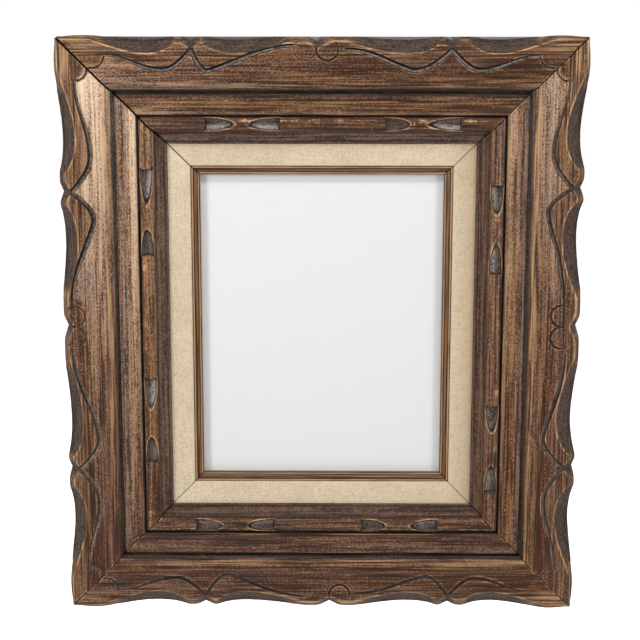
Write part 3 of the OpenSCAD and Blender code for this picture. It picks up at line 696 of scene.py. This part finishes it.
def carvedWood(side):
    # Stained wood with its grain along the rail, gold where worn, pale where the stain has faded and where a
    # sheen is painted, and grey-black in the recesses from glaze and painted shade, with painted lit grey on
    # the cuts' flanks
    s = Shader("carved_wood_" + side)
    seed = sides[side]["seed"]
    band = s.noise(s.along(side, 1.5, 260, (seed * 3, seed, 5)), 1.0, 0.5)
    broad = s.noise(s.along(side, 4, 120, (seed, seed * 3, 0)), 1.0, 0.5, 0.1)
    lines = s.noise(s.along(side, 11, 520, (seed * 2, 0, seed)), 1.5, 0.5, 0.1)
    thread = s.noise(s.along(side, 26, 800, (seed, seed, 2)), 0.5, 0.5)
    grit = s.noise(s.along(side, 640, 860, (0, seed, 0)), 0.0, 0.5)
    patch = s.noise(s.along(side, 28, 45, (seed * 5, 1, 2)), 4.0, 0.6)
    mottle = s.noise(s.along(side, 120, 230, (seed * 2, 7, 3)), 2.0, 0.6)
    fleck = s.noise(s.along(side, 300, 520, (seed, 4, 4)), 2.0, 0.5)
    worn, dirtAndShade, bleachAndSheen = s.attribute("worn"), s.attribute("dirtAndShade"), s.attribute("bleachAndSheen")
    # Stripes of stain, long and fine together
    streak = sides[side]["streak"]
    grain = s.blendOf((broad, 0.3), (lines, streak), (thread, 0.75), (grit, 0.72), (mottle, 0.4))
    grain = s.math("SUBTRACT", grain, (streak - 0.5) * 0.5)
    # the grain is lifted where the stain is pale and where the painted sheen lies
    grain = s.math("MULTIPLY_ADD", bleachAndSheen, 0.28, grain)
    at = (0.4, 0.47, 0.53, 0.6)
    light = s.ramp(band, list(zip(at, wood["lights"])))
    dark = s.ramp(band, list(zip(at, wood["darks"])))
    colour = s.mix(s.span(grain, 1.2, 1.73), dark, light)
    slit = s.math("MULTIPLY_ADD", bleachAndSheen, 0.1, s.blendOf((lines, 0.8), (thread, 0.2)))
    colour = s.mix(s.span(slit, 0.41, 0.34, 0.6), colour, wood["crack"])
    ruddy = s.span(s.math("SUBTRACT", thread, band), 0.03, 0.15, sides[side]["red"])
    colour = s.mix(ruddy, colour, wood["red"])
    # then mixed towards the pale colour there: worn stain and painted highlight together
    colour = s.mix(s.math("MULTIPLY", bleachAndSheen, s.span(grain, 1.3, 1.86, 0.6, 0.05)), colour, wood["paleAndSheen"])
    wear = s.blendOf((lines, 0.45), (patch, 0.4), (thread, 0.35))
    rub = s.math("MULTIPLY", worn, s.span(wear, 0.5, 0.68))
    rub = s.math("MAXIMUM", rub, s.span(worn, 0.78, 0.98, 0.9))
    bare = s.mix(s.span(thread, 0.35, 0.62), wood["tan"], wood["gold"])
    colour = s.mix(s.span(rub, 0.0, 0.7, 0.85), colour, bare)
    # Recesses: glaze and painted shade together, by dirtAndShade
    grey = s.math("MULTIPLY", dirtAndShade, s.span(patch, 0.2, 0.55, 1.0, 0.8))
    speck = s.blendOf((lines, 0.25), (thread, 0.25), (grit, 0.35), (mottle, 0.15))
    murk = s.mix(s.span(speck, 0.38, 0.62), wood["sootAndShade"], wood["patina"])
    # painted light: the cut lines' inner flanks and the long gouges' floors turn lit grey
    murk = s.mix(s.math("MULTIPLY", bleachAndSheen, s.span(speck, 0.36, 0.6)), murk, wood["litGrey"])
    colour = s.mix(s.span(grey, 0.0, 0.6, 0.95), colour, murk)
    # the darkest recesses go near black, painted shade over the glaze
    colour = s.mix(s.span(grey, 0.78, 0.98), colour, wood["pitAndShade"])
    chips = s.math("MULTIPLY_ADD", worn, 0.1, fleck)
    colour = s.mix(s.span(chips, 0.74, 0.8, 0.5), colour, wood["paleAndSheen"])
    colour = s.mix(s.span(fleck, 0.28, 0.22, 0.85), colour, wood["pitAndShade"])
    rough = s.blendOf((lines, 0.5), (dirtAndShade, 0.35))
    rough = s.span(rough, 0.18, 0.6, wood["roughHigh"], wood["roughLow"])
    pits = s.ramp(fleck, [(0.18, 0.0), (0.3, 1.0)])
    bumps = (lines, 1.0, 0.00016), (thread, 1.0, 0.0001), (grit, 0.8, 0.00007), (pits, 0.5, 0.0003)
    return s.finished(colour, rough, 0.12, bumps)


def plainWood(name, side, light, dark):
    # Bare softwood: growth rings, fibre and pores along the stick, and dark where stain ran over an edge
    s = Shader(name)
    rings = s.noise(s.along(side, 2.5, 95), 1.0, 0.5, 0.3)
    lines = s.noise(s.along(side, 12, 430), 1.5, 0.5)
    hair = s.noise(s.along(side, 45, 1000), 1.0, 0.5)
    pore = s.noise(s.along(side, 170, 950, (2, 5, 1)), 1.0, 0.5)
    saw = s.noise(s.along(side, 420, 12), 1.0, 0.5)
    blot = s.noise(s.mapped((42, 42, 42)), 4.0, 0.6)
    grain = s.blendOf((rings, 0.45), (lines, 0.35), (hair, 0.38), (saw, 0.05))
    colour = s.mix(s.span(grain, 0.53, 0.74), dark, light)
    colour = s.mix(s.span(pore, 0.36, 0.27, 0.6), colour, wood["darks"][1])
    colour = s.mix(s.span(blot, 0.5, 0.72, 0.3), colour, wood["darks"][3])
    ran = s.span(s.blendOf((blot, 0.7), (lines, 0.3)), 0.36, 0.56, 1.3, 0.2)
    ran = s.math("MULTIPLY", s.attribute("dirtAndShade"), ran)
    colour = s.mix(ran, colour, wood["darks"][0])
    bumps = (lines, 0.8, 0.0002), (hair, 0.8, 0.0001), (saw, 0.3, 0.0001)
    return s.finished(colour, s.span(lines, 0.3, 0.7, 0.85, 0.7), 0.25, bumps)


# stainAndShade colours the cloth's spots and mottling and the painted shade on its right strip
linenLook = dict(light=srgb(206, 189, 163), dark=srgb(180, 161, 131), stainAndShade=srgb(150, 124, 90),
                 seam=srgb(74, 52, 36), thread=0.00045)


def linenCloth():
    # Plain weave: warp along x and weft along z, each thread a little uneven
    s = Shader("linen_cloth")
    pitch = math.pi / linenLook["thread"]
    drift = s.noise(s.mapped((60, 60, 60)), 3.0, 0.6)
    split = s.node("ShaderNodeSeparateXYZ")
    s.put(split.inputs[0], s.coords)
    waves = []
    for axis in (0, 2):
        phase = s.math("ADD", s.math("MULTIPLY", split.outputs[axis], pitch), s.math("MULTIPLY", drift, 6.0))
        waves.append(s.math("SINE", phase))
    weave = s.math("MULTIPLY", waves[0], waves[1])
    slubX = s.noise(s.mapped((130, 900, 900)), 1.0, 0.5)
    slubZ = s.noise(s.mapped((900, 900, 130)), 1.0, 0.5)
    fuzz = s.noise(s.mapped((680, 680, 680)), 1.0, 0.5)
    slub = s.blendOf((slubX, 0.27), (slubZ, 0.27), (fuzz, 0.46))
    tone = s.math("MULTIPLY_ADD", weave, 0.008, slub)
    colour = s.ramp(tone, [(0.32, linenLook["dark"]), (0.57, linenLook["light"])])
    spot = s.noise(s.mapped((330, 330, 330), (3, 1, 7)), 1.0, 0.4)
    colour = s.mix(s.span(spot, 0.73, 0.8, 0.6), colour, linenLook["stainAndShade"])
    cloud = s.noise(s.mapped((22, 22, 22)), 3.0, 0.6)
    colour = s.mix(s.span(cloud, 0.5, 0.72, 0.22), colour, linenLook["stainAndShade"])
    right = s.span(split.outputs[0], 0.1, 0.118, 0.54)       # painted shade: the strip on the right is darker, as in the right rail's shadow
    colour = s.mix(right, colour, linenLook["stainAndShade"])
    colour = s.mix(s.span(s.attribute("dirtAndShade"), 0.25, 0.9, 0.9), colour, linenLook["seam"])
    s.bsdf.inputs["Sheen Weight"].default_value = 0.25
    return s.finished(colour, 0.9, 0.2, ((weave, 0.05, 0.0002), (slub, 0.6, 0.0004)))


def metal(name, colour, rough, dull):
    s = Shader(name)
    rub = s.noise(s.mapped((700, 700, 90)), 4.0, 0.6)
    spot = s.noise(s.mapped((420, 420, 420), (2, 5, 1)), 3.0, 0.6)
    colour = s.mix(s.span(spot, 0.5, 0.75, 0.7), colour, dull)
    s.bsdf.inputs["Metallic"].default_value = 1.0
    rough = s.span(rub, 0.3, 0.7, rough + 0.12, rough - 0.08)
    return s.finished(colour, rough, bumps=((rub, 0.15, 0.0001),))


def filletWood(side):
    s = Shader("fillet_wood_" + side)
    lines = s.noise(s.along(side, 16, 700), 4.0, 0.65)
    patch = s.noise(s.along(side, 60, 200), 3.0, 0.6)
    colour = s.ramp(lines, [(0.3, wood["crack"]), (0.42, wood["darks"][1]), (0.58, wood["tan"])])
    gilt = s.math("MULTIPLY", s.attribute("worn"), s.span(patch, 0.3, 0.55, 1.0, 0.55))
    colour = s.mix(gilt, colour, wood["gold"])
    # painted shade: dirtAndShade darkens the fillet's shadow line and creases towards black
    colour = s.mix(s.attribute("dirtAndShade"), colour, wood["pitAndShade"])
    return s.finished(colour, 0.45, 0.15, ((lines, 0.25, 0.0003),))


# Carved rails
for side in sides:
    bm = buildRail(side)
    back = plainWood("back_wood_" + side, side, srgb(192, 158, 116), srgb(140, 104, 70))
    piece = makePiece("carved_rail_" + side, bm, [carvedWood(side), back])
    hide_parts("rail_" + side)
    print("rail", side, len(piece.data.polygons))


# Sizes in mm that linen strips, fillets and liner sticks share
liner = dict(linenShow=17.25, linenThick=0.5, drop=1.7, seamWide=0.8, gap=0.5, filletShow=7.0, filletEdge=3.0,
             filletFace=10.3, filletRise=3.2, tongueThick=2.2, lap=6.35, room=3.1)
linerOut = rebateIn + liner["gap"]
linenIn = rail["width"] + liner["linenShow"]
sightIn = linenIn + liner["filletShow"]
linenLow = lipBack - liner["drop"]
filletBack = liner["filletFace"] - liner["filletEdge"]
pocketIn = sightIn - liner["lap"] - liner["room"]


def stripPiece(side, section, step):
    # A closed section drawn along one side of the frame and mitred; its points are (in, up, worn,
    # dirtAndShade)
    half = halfOf(side) - section[0][0] + 4
    count = int(2 * half / step) + 1
    section = section + section[:1]
    bm, worn, dirtAndShade = gridMesh(count, len(section), "worn", "dirtAndShade")
    for i in range(count):
        for j, (u, z, w, d) in enumerate(section):
            v = bm.verts[j * count + i]
            v.co = (-half + 2 * half * i / (count - 1), -u, z)
            v[worn], v[dirtAndShade] = w, d
    bmesh.ops.remove_doubles(bm, verts=bm.verts, dist=0.001)
    gap = rail["mitreGap"] * 0.7071
    for way, seam in zip((-1, 1), sides[side]["mitres"]):
        mitreCut(bm, way, halfOf(side) - gap - liner["seamWide"])
        points, rim = mitreCut(bm, way, halfOf(side) - gap, True)
        for v in points:
            v[dirtAndShade] = max(v[dirtAndShade], 2.4 * seam)
        bmesh.ops.holes_fill(bm, edges=rim, sides=0)
    bm.transform(onSide(side))
    bmesh.ops.recalc_face_normals(bm, faces=bm.faces)
    return bm


def linenSection():
    t = liner["linenThick"]
    outer = [(linerOut, lipBack), (rail["width"] - 0.5, lipBack)]
    outer += [(rail["width"] + (linenIn - 1 - rail["width"]) * i / 12, lipBack - liner["drop"] * i / 12)
              for i in range(13)]
    outer += arc(linenIn - 1, linenLow - 1, 1, 1, 80, 0, 6)
    outer += [(linenIn, filletBack + liner["tongueThick"])]
    inner = [(linenIn - t, filletBack + liner["tongueThick"]), (linenIn - t, linenLow - 1)]
    inner += [(linenIn - 1 - t * 0.7, linenLow - t), (rail["width"], lipBack - t), (linerOut, lipBack - t)]
    return [(u, z, 0, 0) for u, z in outer + inner]


def filletSection():
    # dirtAndShade here is painted shade: a dark shadow line where the fillet meets the linen and darker
    # creases in its hollow and at its sight edge
    out = linenIn + 0.1
    bead = sightIn - 2.2
    high = liner["filletFace"] + liner["filletRise"]
    back = filletBack
    points = [(pocketIn + 0.1, back, 0, 0), (pocketIn + 0.1, back + liner["tongueThick"] - 0.02, 0, 0),
              (out, back + liner["tongueThick"] - 0.02, 0, 1), (out, high - 0.5, 0, 1)]
    points += [(x, z, 0.6 * (3 < i < 9), 0.9 * (i < 3) + 0.7 * (i > 9))
               for i, (x, z) in enumerate(arc(out + 0.9, high - 0.6, 0.9, 0.6, 165, 10, 10))]
    points += [(x, z, 0.16 * smooth(4, 9, i), 0.95 - 0.95 * smooth(1, 3, i)) for i, (x, z) in
               enumerate(arc(bead, high - 0.6, bead - out - 2, liner["filletRise"] - 0.4, 185, 265, 10))]
    points += [(x, z, 0.65 * (3 < i < 6), 0.6 * (i < 2) + 0.7 * (i > 7)) for i, (x, z) in
               enumerate(arc(sightIn - 1.1, liner["filletFace"], 1.1, 1.1, 172, 0, 10))]
    points += [(sightIn, back, 0, 0.3)]
    return points


linenMaterial = linenCloth()
for side in sides:
    strip = makePiece("linen_strip_" + side, stripPiece(side, linenSection(), 2.5), [linenMaterial])
    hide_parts("linen_" + side)
    moulding = stripPiece(side, filletSection(), 4.0)
    moulding = makePiece("fillet_moulding_" + side, moulding, [filletWood(side)])
    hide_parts("fillet_" + side)
print("linen and fillets made")


# Pan-head screws of the hangers, in mm; turns says in degrees how each head's cross was left
screw = dict(headR=3.6, headHigh=2.2, shankR=1.6, point=3.2, crossLong=4.4, crossWide=0.95,
             crossDeep=1.5, turns=(24, 71))


def screwBody(x, z, head, tip):
    # A screw's outline spun about its axis; head is its top and tip its point
    s = screw
    base = head - s["headHigh"]
    outline = [(0, tip), (s["shankR"] * 0.6, tip + s["point"] * 0.5), (s["shankR"], tip + s["point"])]
    outline += [(s["shankR"], base), (s["headR"], base), (s["headR"], base + 0.45)]
    outline += arc(s["headR"] - 1.5, base + 0.45, 1.5, s["headHigh"] - 0.55, 0, 72, 6)[1:]
    outline += [(0, head)]
    bm = bmesh.new()
    points = [bm.verts.new((x + r, y, z)) for r, y in outline]
    for a, b in zip(points, points[1:]):
        bm.edges.new((a, b))
    bmesh.ops.spin(bm, geom=bm.verts[:] + bm.edges[:], cent=(x, 0, z), axis=(0, 1, 0), angle=math.tau,
                   steps=32, use_merge=True)
    bmesh.ops.remove_doubles(bm, verts=bm.verts, dist=0.001)
    return bm


def crossCutter(x, z, head, turn):
    # One bar of the cross recess, narrower at its foot
    s = screw
    bm = bmesh.new()
    bmesh.ops.create_cube(bm, size=1)
    for v in bm.verts:
        low = v.co.y < 0
        v.co.x *= s["crossLong"] * (0.4 if low else 1)
        v.co.z *= s["crossWide"] * (0.7 if low else 1)
        v.co.y = head - s["crossDeep"] if low else head + 1
    bmesh.ops.rotate(bm, verts=bm.verts, matrix=Matrix.Rotation(math.radians(turn), 3, "Y"))
    bmesh.ops.translate(bm, verts=bm.verts, vec=(x, 0, z))
    return bm


def plainMesh(name, bm):
    bm.transform(Matrix.Scale(mm, 4))
    bmesh.ops.recalc_face_normals(bm, faces=bm.faces)
    return meshOf(name, bm)


def hangerScrews(material):
    low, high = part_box("hanger_screws")
    z, head, tip = (low[2] + high[2]) / 2 / mm, high[1] / mm, low[1] / mm
    both = bmesh.new()
    for x, turn in zip((low[0] / mm + screw["headR"], high[0] / mm - screw["headR"]), screw["turns"]):
        body = addObject("screw", plainMesh("screw", screwBody(x, z, head, tip)))
        cutters = []
        for quarter in (0, 90):
            bar = addObject("bar", plainMesh("bar", crossCutter(x, z, head, turn + quarter)))
            cut = body.modifiers.new("cross", "BOOLEAN")
            cut.object = bar
            cut.solver = "EXACT"
            cutters.append(bar)
        bpy.context.view_layer.update()
        done = body.evaluated_get(bpy.context.evaluated_depsgraph_get()).to_mesh()
        both.from_mesh(done)
        for spare in [body] + cutters:
            bpy.data.objects.remove(spare)
    piece = makePiece("pan_head_screws", both, [material], sharp=35)
    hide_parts("hanger_screws")
    print("screws", len(piece.data.polygons))


# CAD nodes that stay get their finish
linerWood = srgb(208, 176, 130), srgb(164, 126, 84)
finishes = [
    (plainWood("liner_wood_flat", "top", *linerWood), ("liner_top", "liner_bottom")),
    (plainWood("liner_wood_upright", "left", *linerWood), ("liner_left", "liner_right")),
    (metal("nail_steel", srgb(150, 150, 154), 0.42, srgb(96, 78, 62)),
     ("rail_v_nails", "liner_v_nails", "glazier_points")),
    (metal("zinc_plate", srgb(158, 156, 150), 0.3, srgb(112, 106, 96)),
     ("hanger_strap_left", "hanger_strap_right", "d_ring_left", "d_ring_right")),
]
for material, names in finishes:
    for name in names:
        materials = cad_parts[name].data.materials
        materials.clear()
        materials.append(material)
hangerScrews(metal("yellow_zinc", srgb(176, 148, 84), 0.32, srgb(120, 94, 52)))


# Floor, wall card, lights, world and camera, in metres
stageSet = dict(floorDrop=0.42, floorSize=8.0, floorColour=srgb(244, 244, 244), worldLight=0.3,
                cardDeep=0.0055, cardRoom=0.006, cardColour=srgb(213, 213, 212))


def stagePlane(name, matrix, material):
    bm = bmesh.new()
    bmesh.ops.create_grid(bm, x_segments=1, y_segments=1, size=1)
    bm.transform(matrix)
    mesh = meshOf(name, bm)
    mesh.materials.append(material)
    addObject(name, mesh)


def seenStraight(tree):
    # 1 for the camera's rays and for those mirrored or let through, otherwise 0
    path = tree.nodes.new("ShaderNodeLightPath")
    total = path.outputs["Is Camera Ray"]
    for key in ("Is Glossy Ray", "Is Transmission Ray"):
        most = tree.nodes.new("ShaderNodeMath")
        most.operation = "MAXIMUM"
        tree.links.new(total, most.inputs[0])
        tree.links.new(path.outputs[key], most.inputs[1])
        total = most.outputs[0]
    return total


def joinShaders(tree, share, first, second, output):
    # Sends two shaders to the output, the second by this share
    pick = tree.nodes.new("ShaderNodeMixShader")
    for socket, value in zip(pick.inputs, (share, first.outputs[0], second.outputs[0])):
        tree.links.new(value, socket)
    tree.links.new(pick.outputs[0], output.inputs["Surface"])


def floorPaint():
    # White to the camera, but for the shadow that falls on it
    s = Shader("floor_paint")
    glow = s.node("ShaderNodeEmission", Color=(1, 1, 1, 1), Strength=0.85)
    both = s.node("ShaderNodeAddShader")
    s.tree.links.new(s.bsdf.outputs[0], both.inputs[0])
    s.tree.links.new(glow.outputs[0], both.inputs[1])
    joinShaders(s.tree, seenStraight(s.tree), s.bsdf, both, s.output)
    return s.finished(stageSet["floorColour"], 0.9)


def cardPaint():
    # The pale ground seen through the opening, which only the camera sees, and only from the front
    s = Shader("card_paint")
    clear = s.node("ShaderNodeBsdfTransparent")
    faces = s.node("ShaderNodeNewGeometry")
    path = s.node("ShaderNodeLightPath")
    unseen = s.math("SUBTRACT", 1.0, path.outputs["Is Camera Ray"])
    unseen = s.math("MAXIMUM", faces.outputs["Backfacing"], unseen)
    joinShaders(s.tree, unseen, s.bsdf, clear, s.output)
    return s.finished(stageSet["cardColour"], 0.9)


floorZ = -frameHigh / 2 * mm - stageSet["floorDrop"]
stagePlane("floor", Matrix.Translation((0, 0, floorZ)) @ Matrix.Scale(stageSet["floorSize"], 4), floorPaint())
cardRoom = stageSet["cardRoom"] - sightIn * mm
cardSize = Matrix.Diagonal((frameWide / 2 * mm + cardRoom, frameHigh / 2 * mm + cardRoom, 1, 1))
cardPlace = Matrix.Translation((0, -stageSet["cardDeep"], 0)) @ Matrix.Rotation(math.radians(90), 4, "X")
stagePlane("wall_card", cardPlace @ cardSize, cardPaint())

world = bpy.data.worlds.new("studio")
bpy.context.scene.world = world
world.use_nodes = True
tree = world.node_tree
tree.nodes.clear()
lit = addNode(tree, "ShaderNodeBackground", Color=(1, 1, 1, 1), Strength=stageSet["worldLight"])
seen = addNode(tree, "ShaderNodeBackground", Color=(1, 1, 1, 1))
joinShaders(tree, seenStraight(tree), lit, seen, tree.nodes.new("ShaderNodeOutputWorld"))

lamps = [
    dict(name="left_box", place=(-0.95, -0.8, 0.3), wide=0.3, high=0.5, power=8.0),
    dict(name="right_box", place=(0.95, -0.8, 0.3), wide=0.3, high=0.5, power=5.8),
    dict(name="top_box", place=(0.0, -0.8, 1.15), wide=0.9, high=0.3, power=10.0),
    dict(name="back_box", place=(0.6, 1.6, 1.1), wide=1.2, high=0.8, power=14),
]
for lamp in lamps:
    light = bpy.data.lights.new(lamp["name"], "AREA")
    light.shape = "RECTANGLE"
    light.size, light.size_y = lamp["wide"], lamp["high"]
    light.energy = lamp["power"]
    spot = addObject(lamp["name"], light)
    spot.location = lamp["place"]
    spot.rotation_euler = (-spot.location).to_track_quat("-Z", "Y").to_euler()

# Fitted to the corners of the frame and of its opening
shot = dict(place=(0.0064, -1.1891, 0.2426), tilt=78.597, roll=-0.038, pan=0.386, angle=23.849)
cameraData = bpy.data.cameras.new("camera")
camera = addObject("camera", cameraData)
camera.location = shot["place"]
camera.rotation_euler = [math.radians(a) for a in (shot["tilt"], shot["roll"], shot["pan"])]
cameraData.angle = math.radians(shot["angle"])
cameraData.clip_start = 0.01
bpy.context.scene.camera = camera
bpy.context.scene.view_settings.view_transform = "Standard"

print("scene made")
